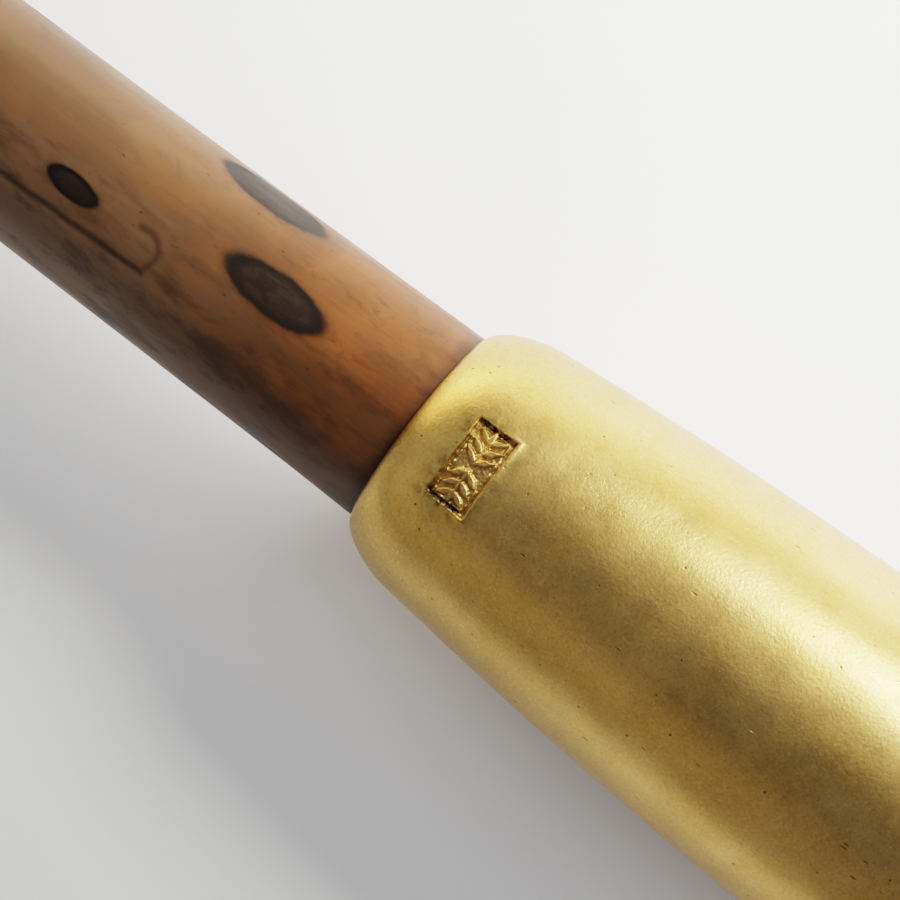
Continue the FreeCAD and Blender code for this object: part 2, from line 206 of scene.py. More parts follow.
def rings(outline_x, outline_r, angles):
    """Points of a turned surface: one ring for each point of the outline, with +Z at angle 0."""
    x = np.repeat(outline_x[:, None], len(angles), axis=1)
    y = outline_r[:, None] * np.sin(angles)[None, :]
    z = outline_r[:, None] * np.cos(angles)[None, :]
    return np.stack([x, y, z], axis=-1)


def move_out(points, distance):
    """Moves points straight away from the pen's axis by their own distances."""
    radius = np.hypot(points[..., 1], points[..., 2])
    factor = 1 + distance / radius
    moved = points.copy()
    moved[..., 1] *= factor
    moved[..., 2] *= factor
    return moved


def skin(name, points, closed, fields):
    """A mesh over rings of points in mm. Closed joins the last ring to the first one, and
    otherwise each end is closed with a point on the axis. Fields are numbers for the shaders."""
    count, around = points.shape[:2]
    index = np.arange(count * around).reshape(count, around)
    lower = index if closed else index[:-1]
    upper = np.roll(index, -1, axis=0) if closed else index[1:]
    quads = np.stack(
        [lower, upper, np.roll(upper, -1, axis=1), np.roll(lower, -1, axis=1)], axis=-1
    )
    corners = points.reshape(-1, 3)
    faces = quads.reshape(-1, 4).tolist()
    if not closed:
        first, last = len(corners), len(corners) + 1
        ends = [[points[0, :, 0].mean(), 0, 0], [points[-1, :, 0].mean(), 0, 0]]
        corners = np.vstack([corners, ends])
        for j in range(around):
            k = (j + 1) % around
            faces.append([first, int(index[0, j]), int(index[0, k])])
            faces.append([last, int(index[-1, k]), int(index[-1, j])])
    mesh = bpy.data.meshes.new(name)
    mesh.from_pydata((corners * MM).tolist(), [], faces)
    mesh.validate()
    mesh.shade_smooth()
    for field, values in fields.items():
        layer = mesh.attributes.new(field, "FLOAT", "POINT")
        flat = np.zeros(len(corners), np.float32)
        flat[:values.size] = values.reshape(-1)
        layer.data.foreach_set("value", flat)
    piece = bpy.data.objects.new(name, mesh)
    bpy.context.scene.collection.objects.link(piece)
    return piece


# --- Brass grip ----------------------------------------------------------------------------------


def barrel_radius(x):
    """Radius of the grip's long arc."""
    return GRIP_RADIUS - BARREL_ARC + np.sqrt(BARREL_ARC ** 2 - (x - GRIP_WIDEST_X) ** 2)


def rim_outline(shares):
    """The soft rear rim as a Bezier curve from the bore's edge to the barrel."""
    end = MOUTH_X + RIM_LENGTH
    end_radius = barrel_radius(end)
    slope = (GRIP_WIDEST_X - end) / BARREL_ARC
    poles = np.array([
        (MOUTH_X, SOCKET_RADIUS),
        (MOUTH_X, SOCKET_RADIUS + RIM_RISE * (end_radius - SOCKET_RADIUS)),
        (end - RIM_PULL, end_radius - RIM_PULL * slope),
        (end, end_radius),
    ])
    t = shares[:, None]
    return (
        (1 - t) ** 3 * poles[0] + 3 * (1 - t) ** 2 * t * poles[1]
        + 3 * (1 - t) * t ** 2 * poles[2] + t ** 3 * poles[3]
    )


def outer_radius(x):
    """Radius of the grip's outside, rim and barrel."""
    rim = rim_outline(np.linspace(0, 1, 400))
    return np.where(x < MOUTH_X + RIM_LENGTH, np.interp(x, rim[:, 0], rim[:, 1]), barrel_radius(x))


def sprig_distance(u, v):
    """Distance outside the two sprigs at u along the pen and v round it; negative inside."""
    away = np.abs(v)
    side = np.abs(u)
    stem_middle = (STEM_START + STEM_END) / 2
    stem_half = (STEM_END - STEM_START) / 2
    distance = np.maximum(side - STEM_WIDTH / 2, np.abs(away - stem_middle) - stem_half)
    roots = [(STEM_START + STEM_WIDTH / 2 + i * LEAF_PITCH, LEAF_SLANT) for i in range(LEAF_PAIRS)]
    roots.append((STEM_END - LEAF_WIDTH, math.pi / 2))
    for root, slant in roots:
        along = side * math.cos(slant) + (away - root) * math.sin(slant)
        across = -side * math.sin(slant) + (away - root) * math.cos(slant)
        share = along / LEAF_LENGTH - LEAF_BELLY
        reach = np.where(share > 0, 1 - LEAF_BELLY, LEAF_BELLY)
        width = LEAF_WIDTH / 2 * (1 - (share / reach) ** 2)
        distance = np.minimum(distance, np.abs(across) - width)
    return distance


def seal(points):
    """How far the seal moves each point in or out, and its tarnish, grime and painted shade round
    it.
    """
    u = points[..., 0] - SEAL_X
    v = points[..., 1]
    near = (np.abs(u) < SEAL_LENGTH) & (np.abs(v) < SEAL_WIDTH) & (points[..., 2] > 0)
    ragged = np.zeros(u.shape)
    fine = np.zeros(u.shape)
    ragged[near] = noise_at(points[near], 3.0, 3, 5.0)
    fine[near] = noise_at(points[near], 9.0, 3, 9.0)
    wall = np.maximum(np.abs(u) - SEAL_LENGTH / 2, np.abs(v) - SEAL_WIDTH / 2)
    wall = np.where(near, wall + SEAL_RAGGED * ragged, FAR_OUTSIDE)
    sunk = smooth_step(0.0, SEAL_WALL, -wall)
    sprigs = sprig_distance(u, v) + 0.03 * fine
    relief = smooth_step(-SPRIG_SOFTNESS, SPRIG_SOFTNESS, -sprigs)
    inner = np.abs(wall + BORDER_INSET) - BORDER_WIDTH / 2 + 0.010 * fine
    border = smooth_step(-BORDER_SOFTNESS, BORDER_SOFTNESS, -inner)
    border = border * smooth_step(-0.5, 0.3, ragged)
    floor = -SEAL_DEPTH * sunk * (1 + 0.07 * fine)
    raised = SPRIG_HEIGHT * sunk * np.maximum(relief * (0.9 + 0.2 * fine), 0.7 * border)
    lip = LIP_HEIGHT * np.exp(-((wall - LIP_MIDDLE) / LIP_WIDTH) ** 2) * smooth_step(0.2, 0.8, u)
    tarnish = sunk * (1 - 0.5 * np.maximum(relief, border))
    short_end = smooth_step(SEAL_WIDTH / 2 - 0.45, SEAL_WIDTH / 2 - 0.15, np.abs(v))
    patches = smooth_step(-0.45, 0.25, ragged)
    spread = GRIME_WIDTH + 0.06 * short_end
    grime = np.exp(-((wall + GRIME_INSET) / spread) ** 2) * (0.30 + 0.70 * short_end) * patches
    # Painted shade round the seal, heavier on its rim side, standing in for the dished metal's
    # shading.
    around = np.exp(-(np.maximum(wall, 0) / SEAL_SHADE_REACH) ** 2) * (1 - sunk)
    painted_seal_shade = around * smooth_step(-0.4, 0.5, ragged) * (0.8 - 0.5 * smooth_step(0.3, 0.8, u))
    return floor + raised + lip, tarnish, grime, painted_seal_shade


def grip_shell():
    """The whole turned grip: rim, barrel, front edge, and its bores."""
    rim_end = MOUTH_X + RIM_FACE
    seal_start = SEAL_X - SEAL_LENGTH / 2 - SEAL_MARGIN
    seal_end = SEAL_X + SEAL_LENGTH / 2 + SEAL_MARGIN
    edge_x = GRIP_HIGH.x - FRONT_EDGE
    first = rim_outline(np.linspace(0, 0.4, 14))
    first = first[first[:, 0] < rim_end]
    xs = np.concatenate([
        np.arange(rim_end, seal_start, RIM_STEP),
        np.arange(seal_start, seal_end, SEAL_STEP),
        np.arange(seal_end, seal_end + AFTER_SEAL, AFTER_SEAL_STEP),
        np.arange(seal_end + AFTER_SEAL, edge_x, BARREL_STEP),
    ])
    turn = np.linspace(0, math.pi / 2, 9)
    edge_radius = barrel_radius(edge_x)
    edge = np.stack([
        edge_x + FRONT_EDGE * np.sin(turn), edge_radius - FRONT_EDGE * (1 - np.cos(turn))
    ], axis=-1)
    sleeve_ring, socket_ring, mouth_ring = BORE_RINGS
    bores = np.array([
        (GRIP_HIGH.x, SLEEVE_BORE + SLEEVE_CHAMFER),
        (GRIP_HIGH.x - SLEEVE_CHAMFER, SLEEVE_BORE),
        (GRIP_HIGH.x - sleeve_ring, SLEEVE_BORE),
        (GRIP_HIGH.x - SLEEVE_BORE_DEPTH, SLEEVE_BORE),
        (GRIP_HIGH.x - SLEEVE_BORE_DEPTH, MIDDLE_BORE),
        (MOUTH_X + SOCKET_DEPTH, MIDDLE_BORE),
        (MOUTH_X + SOCKET_DEPTH, SOCKET_RADIUS),
        (MOUTH_X + socket_ring, SOCKET_RADIUS),
        (MOUTH_X + mouth_ring, SOCKET_RADIUS),
    ])
    outline = np.vstack([first, np.stack([xs, outer_radius(xs)], axis=-1), edge, bores])
    outside = len(first) + len(xs)
    angles = np.concatenate([
        np.arange(-SEAL_TURN, SEAL_TURN, SEAL_TURN_STEP),
        np.linspace(SEAL_TURN, 2 * math.pi - SEAL_TURN, GRIP_SIDES, endpoint=False),
    ])
    points = rings(outline[:, 0], outline[:, 1], angles)
    out = points[:outside]
    push, tarnish, grime, painted_seal_shade = seal(out)
    fade = smooth_step(0, 1.2, out[..., 0] - MOUTH_X) * smooth_step(0, 1.5, edge_x - out[..., 0])
    slow = noise_at(out, 0.22, 2, 3.0)
    quick = noise_at(out, 0.7, 2, 7.0)
    waves = GRIP_WAVES * (0.6 * slow + 0.4 * quick - 0.8)
    points[:outside] = move_out(out, push + fade * waves)
    fields = {}
    for name, values in (("tarnish", tarnish), ("grime", grime), ("painted_seal_shade", painted_seal_shade)):
        fields[name] = np.zeros(points.shape[:2])
        fields[name][:outside] = values
    return skin("grip_shell", points, True, fields)


# --- Bamboo culm ---------------------------------------------------------------------------------


def culm_radius(x):
    """Radius of the culm's outside behind the brass, with its natural ring."""
    back = MOUTH_X - x
    taper = 2 * (1 - smooth_step(-CULM_TAPER, CULM_TAPER, back))
    front = CULM_WAIST_RADIUS + (CULM_MOUTH_RADIUS - CULM_WAIST_RADIUS) * taper
    front = np.minimum(front, CULM_MOUTH_RADIUS)
    behind = smooth_step(-NODE_BLEND, NODE_BLEND, NODE_X - x)
    base = front + (CULM_TAIL_RADIUS - front) * behind
    ring = NODE_RISE * np.exp(-np.abs((x - NODE_X) / NODE_LENGTH) ** 2.4)
    groove = -SCAR_DEPTH * np.exp(-((x - SCAR_X) / SCAR_WIDTH) ** 2)
    sheath = SHEATH_RISE * np.exp(-((x - SHEATH_X) / SHEATH_WIDTH) ** 2)
    return base + ring + groove + sheath


def spot_list():
    """The marks near the brass, and seeded random ones over the rest of the culm."""
    spots = list(SPOTS)
    rng = random.Random(SPOT_SEED)
    length = MOUTH_X - CULM_LOW.x
    while len(spots) < len(SPOTS) + SCATTERED_SPOTS:
        back = rng.uniform(0.5, length - 1.0)
        angle = rng.uniform(-180, 180)
        half_length = rng.uniform(0.35, 1.0) ** 1.6 * LONGEST_SPOT
        half_width = half_length * rng.uniform(0.34, 0.5)
        if back < CLEAR_OF_SPOTS and abs(angle) < CLEAR_TURN:
            continue
        if abs(back - (MOUTH_X - NODE_X)) < CLEAR_OF_RING:
            continue
        spots.append((back, angle, half_length, half_width))
    return spots


def chain_distance(back, arc, chain):
    """Distance in mm to a chain of straight lines on the unrolled culm."""
    nearest = np.full(back.shape, FAR_OUTSIDE)
    for (from_back, from_turn), (to_back, to_turn) in zip(chain, chain[1:]):
        start = np.array([from_back, math.radians(from_turn) * CULM_WAIST_RADIUS])
        step = np.array([to_back, math.radians(to_turn) * CULM_WAIST_RADIUS]) - start
        share = ((back - start[0]) * step[0] + (arc - start[1]) * step[1]) / (step @ step)
        share = np.clip(share, 0, 1)
        away = np.hypot(back - start[0] - share * step[0], arc - start[1] - share * step[1])
        nearest = np.minimum(nearest, away)
    return nearest


def culm_fields(points, angles):
    """How deep inside a spot each point is, and how strongly the crack or its hook marks it."""
    back = MOUTH_X - points[..., 0]
    wobble = noise_at(points, 0.8, 3, 2.0)
    spot = np.full(back.shape, -1.0)
    for centre, angle, half_length, half_width in spot_list():
        turn = (angles - math.radians(angle) + math.pi) % (2 * math.pi) - math.pi
        along = (back - centre) / half_length
        across = turn[None, :] * CULM_WAIST_RADIUS / half_width
        across = across + SPOT_SLANT * along
        spot = np.maximum(spot, 1 - np.hypot(along, across) + 0.07 * wobble)
    signed = (angles + math.pi) % (2 * math.pi) - math.pi
    arc = signed[None, :] * CULM_WAIST_RADIUS + 0.05 * wobble
    crack = np.exp(-(chain_distance(back, arc, CRACK) / CRACK_WIDTH) ** 2)
    hook = np.exp(-(chain_distance(back, arc, HOOK) / CRACK_WIDTH) ** 2)
    return spot, np.maximum(crack, 0.7 * hook)


def culm():
    """The culm: tenon, outside, tail face and two blind bores, with spots, a crack and a flute."""
    length = MOUTH_X - CULM_LOW.x
    ring = MOUTH_X - NODE_X
    stretches = [                # from, to and step: finest at the hook, fine at marks and ring
        (-TENON_STEP, 10.5, 0.12),
        (10.5, 12.2, 0.05),
        (12.2, 18.0, 0.14),
        (18.0, ring - 4.5, 0.45),
        (ring - 4.5, ring + 4.0, 0.13),
        (ring + 4.0, length - 0.2, 0.45),
    ]
    backs = np.concatenate([np.arange(*stretch) for stretch in stretches] + [[length]])
    xs = MOUTH_X - backs
    node_front = NODE_X + DIAPHRAGM / 2
    node_rear = NODE_X - DIAPHRAGM / 2
    front_part = np.array([
        (node_front, DIAPHRAGM_CENTRE), (node_front, CULM_BORE), (CULM_HIGH.x, CULM_BORE),
        (CULM_HIGH.x, TENON_RADIUS), (xs[0], TENON_RADIUS),
    ])
    rear_part = np.array([
        (CULM_LOW.x, CULM_BORE), (node_rear, CULM_BORE), (node_rear, DIAPHRAGM_CENTRE),
    ])
    outside = np.stack([xs, culm_radius(xs)], axis=-1)
    outline = np.vstack([front_part, outside, rear_part])
    start = len(front_part)
    stop = start + len(outside)
    # Degrees from the top: from, to and step where the marks are, then the rest in equal steps.
    turns = [(-42, -31, 1.8), (-31, -21, 0.55), (-21, 0, 1.0), (0, 86, 1.7)]
    rest = np.linspace(86, 318, 57, endpoint=False)
    angles = np.radians(np.concatenate([np.arange(*turn) for turn in turns] + [rest]))
    points = rings(outline[:, 0], outline[:, 1], angles)
    out = points[start:stop]
    spot, crack = culm_fields(out, angles)
    back = MOUTH_X - out[..., 0]
    stretched = out * np.array([0.12, 1.0, 1.0])
    fibres = noise_at(stretched, 0.55, 3, 4.0)
    visible = smooth_step(0.0, 2.0, back) * smooth_step(0.0, 3.0, length - back)
    around = (angles - FLUTE_TURN + math.pi) % (2 * math.pi) - math.pi
    past_ring = NODE_X - out[..., 0]
    flute_fade = smooth_step(4.5, 1.5, past_ring) * smooth_step(-FLUTE_LENGTH, 0.0, past_ring)
    flute = -FLUTE_DEPTH * np.exp(-(around[None, :] / FLUTE_WIDTH) ** 2) * flute_fade
    marks = SPOT_DEPTH * smooth_step(0.0, 0.3, spot) + CRACK_DEPTH * crack
    push = visible * (FIBRE_DEPTH * fibres + flute) - marks
    points[start:stop] = move_out(out, push)
    bow = CULM_BOW * np.sin(math.pi * np.clip((MOUTH_X - points[..., 0]) / length, 0, 1))
    points[..., 1] -= bow
    fields = {"spot": np.full(points.shape[:2], -1.0), "crack": np.zeros(points.shape[:2])}
    fields["spot"][start:stop] = spot
    fields["crack"][start:stop] = crack
    return skin("culm", points, False, fields)


# --- Shader helpers ------------------------------------------------------------------------------


class Shader:
    """A material with short calls for the nodes used here. Positions are in millimetres."""

    def __init__(self, name):
        self.material = bpy.data.materials.new(name)
        self.material.use_nodes = True
        self.tree = self.material.node_tree
        self.surface = self.tree.nodes["Principled BSDF"]
        self.place = self.scaled(self.add("ShaderNodeTexCoord").outputs["Object"], (1 / MM,) * 3)

    def add(self, kind, **settings):
        """A new node of this kind with these settings."""
        node = self.tree.nodes.new(kind)
        for key, value in settings.items():
            setattr(node, key, value)
        return node

    def join(self, source, socket):
        """Links an output to a socket, or sets the socket to a constant."""
        if isinstance(source, bpy.types.NodeSocket):
            self.tree.links.new(source, socket)
        else:
            socket.default_value = source

    def scaled(self, vector, scale, turn=(0, 0, 0)):
        """A vector turned by these radians and scaled along each axis."""
        node = self.add("ShaderNodeMapping")
        self.join(vector, node.inputs["Vector"])
        node.inputs["Scale"].default_value = scale
        node.inputs["Rotation"].default_value = turn
        return node.outputs["Vector"]

    def noise(self, scale, detail=3.0, roughness=0.5, stretch=(1, 1, 1), turn=(0, 0, 0), warp=0.0):
        """Fractal noise of about 0 to 1. A stretch below 1 draws it out along that axis."""
        node = self.add("ShaderNodeTexNoise")
        self.join(self.scaled(self.place, stretch, turn), node.inputs["Vector"])
        node.inputs["Scale"].default_value = scale
        node.inputs["Detail"].default_value = detail
        node.inputs["Roughness"].default_value = roughness
        node.inputs["Distortion"].default_value = warp
        return node.outputs["Fac"]

    def cells(self, scale, stretch=(1, 1, 1)):
        """Distance to the nearest scattered point, and that point's random number."""
        node = self.add("ShaderNodeTexVoronoi")
        self.join(self.scaled(self.place, stretch), node.inputs["Vector"])
        node.inputs["Scale"].default_value = scale
        split = self.add("ShaderNodeSeparateColor")
        self.join(node.outputs["Color"], split.inputs["Color"])
        return node.outputs["Distance"], split.outputs["Red"]

    def math(self, operation, a, b=0.0):
        """One sum on one or two numbers."""
        node = self.add("ShaderNodeMath", operation=operation)
        for socket, value in zip(node.inputs, (a, b)):
            self.join(value, socket)
        return node.outputs["Value"]

    def band(self, value, low, high, to_low=0.0, to_high=1.0):
        """Maps low..high smoothly to to_low..to_high, and holds it outside."""
        node = self.add("ShaderNodeMapRange", interpolation_type="SMOOTHSTEP")
        for socket, entry in zip(node.inputs, (value, low, high, to_low, to_high)):
            self.join(entry, socket)
        return node.outputs["Result"]

    def field(self, name):
        """A number that the mesh carries at each point."""
        return self.add("ShaderNodeAttribute", attribute_name=name).outputs["Fac"]

    def mix(self, share, a, b):
        """Colour a where the share is 0 and b where it is 1."""
        node = self.add("ShaderNodeMix", data_type="RGBA")
        sockets = [s for s in node.inputs if s.name in ("A", "B") and s.type == "RGBA"]
        self.join(share, node.inputs["Factor"])
        for socket, value in zip(sockets, (a, b)):
            self.join(value if isinstance(value, bpy.types.NodeSocket) else (*value, 1), socket)
        return [s for s in node.outputs if s.type == "RGBA"][0]

    def bump(self, height, depth_mm, before=None):
        """Adds relief of this depth, on top of an earlier bump where one is given."""
        node = self.add("ShaderNodeBump")
        node.inputs["Distance"].default_value = depth_mm * MM
        self.join(height, node.inputs["Height"])
        if before is not None:
            self.join(before, node.inputs["Normal"])
        return node.outputs["Normal"]

    def finish(self, color=None, roughness=None, normal=None, **constants):
        """Joins up the surface and returns the material."""
        for value, name in ((color, "Base Color"), (roughness, "Roughness"), (normal, "Normal")):
            if value is not None:
                self.join(value, self.surface.inputs[name])
        for name, value in constants.items():
            self.surface.inputs[name.replace("_", " ")].default_value = value
        return self.material

    def axis(self, name):
        """One coordinate in millimetres."""
        split = self.add("ShaderNodeSeparateXYZ")
        self.join(self.place, split.inputs["Vector"])
        return split.outputs[name]


# --- Materials -----------------------------------------------------------------------------------


def brass():
    """Satin brass: cloudy tone, fine grain, pits, nicks and scratches, painted shade low on the -Y
    side near the mouth, with tarnish and grime in the seal and painted shade round it."""
    s = Shader("satin_brass")
    clouds = s.noise(0.30, 3, 0.55, warp=0.6)
    tints = s.noise(0.75, 4, 0.6, warp=0.8)
    mottle = s.noise(3.4, 4, 0.65)
    grain = s.noise(9.0, 3, 0.65)
    color = s.mix(s.band(clouds, 0.32, 0.68), (0.66, 0.430, 0.143), (0.75, 0.511, 0.190))
    color = s.mix(s.band(tints, 0.54, 0.70, 0.0, 0.30), color, (0.74, 0.40, 0.115))
    color = s.mix(s.band(tints, 0.44, 0.30, 0.0, 0.35), color, (0.52, 0.40, 0.150))
    color = s.mix(s.band(mottle, 0.36, 0.64, 0.0, 0.26), color, (0.84, 0.60, 0.23))
    # Painted shade: darker low on the -Y side near the mouth.
    painted_shade_low_side = s.band(s.math("ADD", s.axis("Y"), s.math("MULTIPLY", tints, 1.5)), -1.6, -3.6)
    near_mouth = s.band(s.axis("X"), MOUTH_X + 16, MOUTH_X + 5, 0.0, 0.45)
    color = s.mix(s.math("MULTIPLY", painted_shade_low_side, near_mouth), color, (0.36, 0.245, 0.085))
    color = s.mix(s.band(grain, 0.48, 0.30, 0.0, 0.40), color, (0.38, 0.25, 0.090))
    color = s.mix(s.band(grain, 0.54, 0.72, 0.0, 0.45), color, (0.95, 0.72, 0.33))
    # Pits, small specks and longer nicks.
    distance, chance = s.cells(1.6)
    pits = s.math("MULTIPLY", s.band(distance, 0.11, 0.04), s.band(chance, 0.50, 0.75))
    fine_distance, fine_chance = s.cells(5.0)
    specks = s.math("MULTIPLY", s.band(fine_distance, 0.20, 0.08), s.band(fine_chance, 0.74, 0.8))
    nick_distance, nick_chance = s.cells(1.0, stretch=(1.1, 4.5, 4.5))
    nicks = s.math("MULTIPLY", s.band(nick_distance, 0.20, 0.10), s.band(nick_chance, 0.955, 0.965))
    pits = s.math("MAXIMUM", pits, nicks)
    spotted = s.math("MAXIMUM", s.math("MULTIPLY", pits, 0.85), s.math("MULTIPLY", specks, 0.18))
    color = s.mix(spotted, color, (0.16, 0.09, 0.035))
    # Hairline scratches along and across, in patches.
    long_marks = s.noise(1.0, 2, 0.5, stretch=(0.35, 9.0, 9.0), turn=(0, 0, 0.12))
    cross_marks = s.noise(1.0, 2, 0.5, stretch=(9.0, 0.7, 6.0), turn=(0, 0, -0.6))
    where = s.band(s.noise(0.45, 2), 0.50, 0.62)
    marks = s.math("MAXIMUM", s.band(long_marks, 0.70, 0.74), s.band(cross_marks, 0.745, 0.78))
    scratches = s.math("MULTIPLY", marks, where)
    color = s.mix(s.math("MULTIPLY", scratches, 0.45), color, (0.95, 0.78, 0.44))
    # The seal: tarnish inside, painted shade round it, and black grime against its walls.
    patchy = s.band(s.noise(5.0, 3, 0.6), 0.35, 0.65, 0.25, 0.85)
    color = s.mix(s.math("MULTIPLY", s.field("tarnish"), patchy), color, (0.44, 0.275, 0.120))
    painted_seal_shading = s.math("MULTIPLY", s.field("painted_seal_shade"), s.band(s.noise(2.6, 4, 0.6), 0.35, 0.6))
    color = s.mix(painted_seal_shading, color, (0.30, 0.215, 0.075))
    grime = s.math("MULTIPLY", s.field("grime"), s.band(s.noise(7.0, 3), 0.38, 0.56))
    color = s.mix(grime, color, (0.022, 0.015, 0.011))
    rough = s.band(s.noise(0.8, 4, 0.6), 0.3, 0.7, 0.33, 0.41)
    rough = s.math("ADD", rough, s.math("MULTIPLY", s.field("tarnish"), 0.10))
    rough = s.math("ADD", rough, s.math("MULTIPLY", grime, 0.35))
    rough = s.math("ADD", rough, s.math("MULTIPLY", spotted, 0.2))
    normal = s.bump(s.noise(0.5, 2, 0.4), 0.020)
    normal = s.bump(mottle, 0.0055, normal)
    normal = s.bump(grain, 0.0090, normal)
    hurt = s.math("ADD", spotted, s.math("MULTIPLY", scratches, 0.5))
    normal = s.bump(s.math("SUBTRACT", 1.0, hurt), 0.008, normal)
    return s.finish(color, rough, normal, Metallic=1.0)


def bamboo():
    """Smoked speckled bamboo: amber to umber skin, with painted shade on its -Y side, greyer and
    smudged there, with charred ovals, flecks, a crack, fibres and a little gloss."""
    s = Shader("speckled_bamboo")
    streaks = s.noise(0.9, 4, 0.6, stretch=(0.16, 1.0, 1.0), warp=0.3)
    clouds = s.noise(0.26, 3, 0.5, warp=0.6)
    blots = s.noise(1.3, 4, 0.65, stretch=(0.5, 1.0, 1.0), warp=0.5)
    fibres = s.noise(8.0, 3, 0.6, stretch=(0.06, 1.0, 1.0))
    color = s.mix(s.band(clouds, 0.34, 0.66), (0.185, 0.066, 0.022), (0.290, 0.108, 0.034))
    color = s.mix(s.band(streaks, 0.42, 0.72, 0.0, 0.45), color, (0.150, 0.062, 0.026))
    color = s.mix(s.band(blots, 0.50, 0.68, 0.0, 0.50), color, (0.100, 0.038, 0.016))
    color = s.mix(s.band(fibres, 0.45, 0.75, 0.0, 0.08), color, (0.46, 0.21, 0.075))
    # Painted shade: darker and browner on the -Y side. Greyer away from the brass, paler low on the
    # -Y side far from it, and dark smudges on the -Y side.
    painted_shade_side = s.math("ADD", s.math("MULTIPLY", s.axis("Y"), -0.09), s.math("MULTIPLY", streaks, 0.5))
    color = s.mix(s.band(painted_shade_side, 0.12, 0.60, 0.0, 0.80), color, (0.122, 0.070, 0.038))
    cloudy_x = s.math("ADD", s.axis("X"), s.math("MULTIPLY", clouds, 5.0))
    away = s.band(cloudy_x, MOUTH_X - 1.0, MOUTH_X - 12.0, 0.0, 0.60)
    color = s.mix(away, color, (0.182, 0.116, 0.074))
    far_back = s.band(s.axis("X"), MOUTH_X - 3.0, MOUTH_X - 13.0, 0.0, 0.55)
    paler_low_back = s.band(s.math("ADD", painted_shade_side, s.math("MULTIPLY", blots, 0.2)), 0.28, 0.58)
    color = s.mix(s.math("MULTIPLY", far_back, paler_low_back), color, (0.290, 0.180, 0.115))
    smudges = s.noise(1.0, 4, 0.64, stretch=(0.36, 1.0, 1.0), warp=0.3)
    smudges = s.math("MULTIPLY", s.band(smudges, 0.45, 0.68, 0.0, 0.56), s.band(painted_shade_side, 0.10, 0.40))
    color = s.mix(smudges, color, (0.058, 0.032, 0.019))
    # The sheath's scar, then scattered flecks.
    scar = s.math("ABSOLUTE", s.math("ADD", s.axis("X"), -SCAR_X))
    scar = s.math("ADD", scar, s.math("MULTIPLY", blots, 0.5))
    color = s.mix(s.band(scar, 0.70, 0.22, 0.0, 0.65), color, (0.060, 0.027, 0.014))
    flecks = s.band(s.noise(3.4, 4, 0.65, stretch=(0.5, 1.0, 1.0)), 0.64, 0.74)
    color = s.mix(s.math("MULTIPLY", flecks, 0.6), color, (0.040, 0.017, 0.010))
    # Charred ovals with a brown halo, a black edge and a slightly paler heart, then the crack.
    spot = s.math("ADD", s.field("spot"), s.math("MULTIPLY", s.noise(3.2, 4, 0.6), 0.14))
    halo = s.band(spot, -0.14, 0.14)
    char = s.band(spot, 0.02, 0.20)
    core = s.band(spot, 0.24, 0.50)
    lit = s.band(s.noise(3.0, 4, 0.6, stretch=(0.45, 1, 1), warp=0.5), 0.42, 0.66)
    heart = s.mix(lit, (0.024, 0.016, 0.012), (0.040, 0.026, 0.019))
    charred = s.mix(core, (0.011, 0.008, 0.007), heart)
    color = s.mix(s.math("MULTIPLY", halo, 0.45), color, (0.070, 0.028, 0.012))
    color = s.mix(s.math("MULTIPLY", char, 0.96), color, charred)
    color = s.mix(s.math("MULTIPLY", s.field("crack"), 0.62), color, (0.020, 0.010, 0.007))
    # Painted shade: a dark line where the culm goes into the brass.
    ragged_x = s.math("ADD", s.axis("X"), s.math("MULTIPLY", blots, 0.9))
    joint = s.band(ragged_x, MOUTH_X - 0.3, MOUTH_X + 0.55, 0.0, 0.75)
    color = s.mix(joint, color, (0.045, 0.020, 0.012))
    rough = s.band(s.noise(1.3, 4, 0.6, stretch=(0.4, 1, 1)), 0.3, 0.7, 0.38, 0.50)
    rough = s.math("ADD", rough, s.math("MULTIPLY", char, 0.05))
    normal = s.bump(s.noise(0.6, 3, 0.5, stretch=(0.5, 1, 1)), 0.020)
    normal = s.bump(fibres, 0.004, normal)
    normal = s.bump(s.math("SUBTRACT", 1.0, flecks), 0.004, normal)
    return s.finish(color, rough, normal, Specular_IOR_Level=0.35, Coat_Weight=0.06,
                    Coat_Roughness=0.25)


def steel(name, dark, light, roughness, tempered):
    """Drawn or pressed steel with fine lines along the pen, and straw heat tint if tempered."""
    s = Shader(name)
    lines = s.noise(14.0, 3, 0.6, stretch=(0.05, 1.0, 1.0))
    clouds = s.noise(0.9, 3, 0.55)
    color = s.mix(s.band(clouds, 0.3, 0.7), dark, light)
    if tempered:
        tint = s.band(s.math("ADD", s.axis("X"), s.math("MULTIPLY", clouds, 5.0)), 6.0, 16.0)
        color = s.mix(s.math("MULTIPLY", tint, 0.35), color, (0.42, 0.33, 0.20))
    distance, chance = s.cells(2.2)
    specks = s.math("MULTIPLY", s.band(distance, 0.2, 0.08), s.band(chance, 0.7, 0.85))
    color = s.mix(s.math("MULTIPLY", specks, 0.6), color, (0.10, 0.07, 0.05))
    rough = s.band(lines, 0.3, 0.7, roughness - 0.06, roughness + 0.08)
    normal = s.bump(lines, 0.004)
    normal = s.bump(s.noise(1.6, 3), 0.012, normal)
    return s.finish(color, rough, normal, Metallic=1.0)


def hardwood():
    """Bare turned dowel: straight grain with pores."""
    s = Shader("dowel_wood")
    grain = s.noise(3.0, 4, 0.6, stretch=(0.08, 1.0, 1.0), warp=0.4)
    pores = s.noise(16.0, 2, 0.5, stretch=(0.06, 1.0, 1.0))
    color = s.mix(s.band(grain, 0.3, 0.7), (0.30, 0.165, 0.075), (0.50, 0.32, 0.165))
    color = s.mix(s.band(pores, 0.60, 0.72, 0.0, 0.7), color, (0.14, 0.07, 0.03))
    normal = s.bump(pores, 0.02, s.bump(grain, 0.02))
    return s.finish(color, s.band(grain, 0.3, 0.7, 0.55, 0.7), normal)


